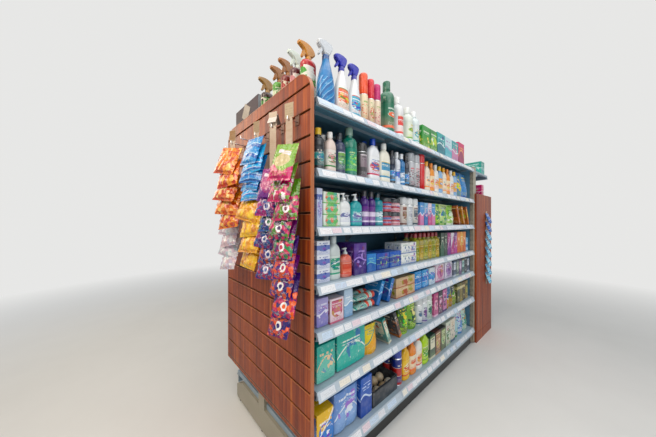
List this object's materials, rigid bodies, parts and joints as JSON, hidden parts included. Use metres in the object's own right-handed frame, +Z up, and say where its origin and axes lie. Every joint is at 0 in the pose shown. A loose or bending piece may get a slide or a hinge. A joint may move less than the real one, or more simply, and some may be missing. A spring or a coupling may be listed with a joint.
{
  "type": "stocked double-sided shop shelving run",
  "caption": "Double-sided gondola shelving with a slatwall end panel, hanging packs, a cross bay at its far end and plain household goods on its shelves.",
  "frame": {"origin": "on the floor under the middle of the first upright, at the slatwall end", "axes": "+X runs along the shelving from the slatwall end to the cross bay, the deep side faces -Y, and +Z is up"},
  "size_m": [2.7983, 1.0497, 2.0931],
  "materials": {
    "cream_steel": "satin powder coat",
    "grey_steel": "satin powder coat",
    "shade_steel": "satin powder coat",
    "black_steel": "satin powder coat",
    "wire": "bright zinc",
    "laminate": "satin mahogany laminate",
    "edging": "satin",
    "strip_plastic": "clear glossy",
    "clip_plastic": "translucent",
    "green_film": "glossy printed film",
    "purple_film": "glossy printed film",
    "blue_film": "glossy printed film",
    "yellow_film": "glossy printed film",
    "orange_film": "glossy printed film",
    "white_film": "clear film",
    "pale_blue_film": "glossy printed film",
    "printed_goods": "printed packs and moulded bottles",
    "tray_board": "matt"
  },
  "bodies": {
    "root": {"spine_uprights": "cream_steel", "spine_rails": "grey_steel", "back_panels": "shade_steel", "levelling_feet": "black_steel", "base_legs": "cream_steel", "base_decks": "grey_steel", "front_shelves": "grey_steel", "back_shelves": "grey_steel", "front_brackets": "grey_steel", "back_brackets": "grey_steel", "front_ticket_strips": "strip_plastic", "back_ticket_strips": "strip_plastic", "kick_plates": "black_steel", "slatwall_core": "laminate", "slatwall_slats": "laminate", "slatwall_edging": "edging", "display_hooks": "wire", "clip_strips": "clip_plastic", "green_bags": "green_film", "purple_bags": "purple_film", "blue_bags": "blue_film", "yellow_bags": "yellow_film", "orange_bags": "orange_film", "white_bags": "white_film", "cross_bay_uprights": "cream_steel", "cross_bay_rails": "grey_steel", "cross_bay_back_panels": "shade_steel", "cross_bay_legs": "cream_steel", "cross_bay_deck": "grey_steel", "cross_bay_shelves": "grey_steel", "cross_bay_brackets": "grey_steel", "cross_bay_ticket_strips": "strip_plastic", "cross_bay_side_panels": "laminate", "cross_bay_side_packs": "pale_blue_film", "cross_bay_stock": "printed_goods", "base_deck_stock": "printed_goods", "shelf_1_stock": "printed_goods", "shelf_2_stock": "printed_goods", "shelf_3_stock": "printed_goods", "shelf_4_stock": "printed_goods", "shelf_5_stock": "printed_goods", "top_shelf_stock": "printed_goods", "back_lower_stock": "printed_goods", "back_middle_stock": "printed_goods", "back_upper_stock": "printed_goods", "open_tray": "tray_board"}
  },
  "joints": []
}
